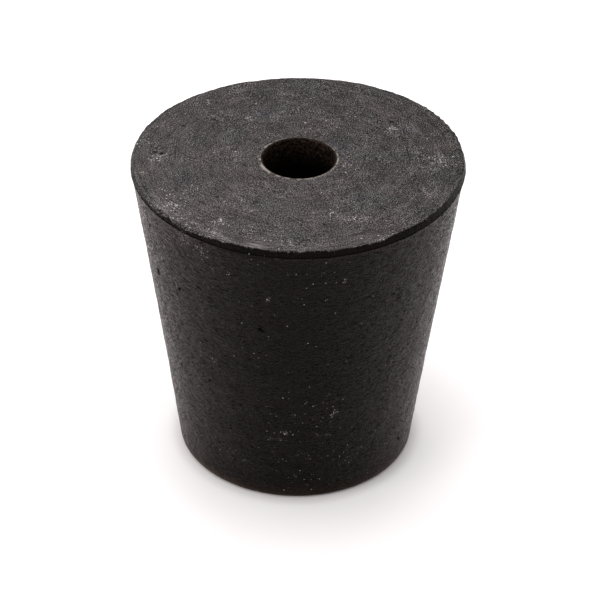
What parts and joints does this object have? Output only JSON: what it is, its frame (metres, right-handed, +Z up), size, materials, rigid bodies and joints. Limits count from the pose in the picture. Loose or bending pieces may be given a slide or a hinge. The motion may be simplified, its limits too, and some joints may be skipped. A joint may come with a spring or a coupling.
{
  "type": "rubber stopper",
  "caption": "Tapered black rubber stopper with a straight through hole, for closing a flask or tube neck around a glass tube.",
  "frame": {"origin": "centre of the foot, the small flat end that it stands on", "axes": "+Z up the hole from the small end to the wide end; X and Y are alike, because the part is round"},
  "size_m": [0.025, 0.025, 0.025],
  "materials": {
    "rubber": "matt moulded wall, ground grey-black top, darker freshly cut rim"
  },
  "bodies": {
    "root": {"stopper": "rubber"}
  },
  "joints": []
}
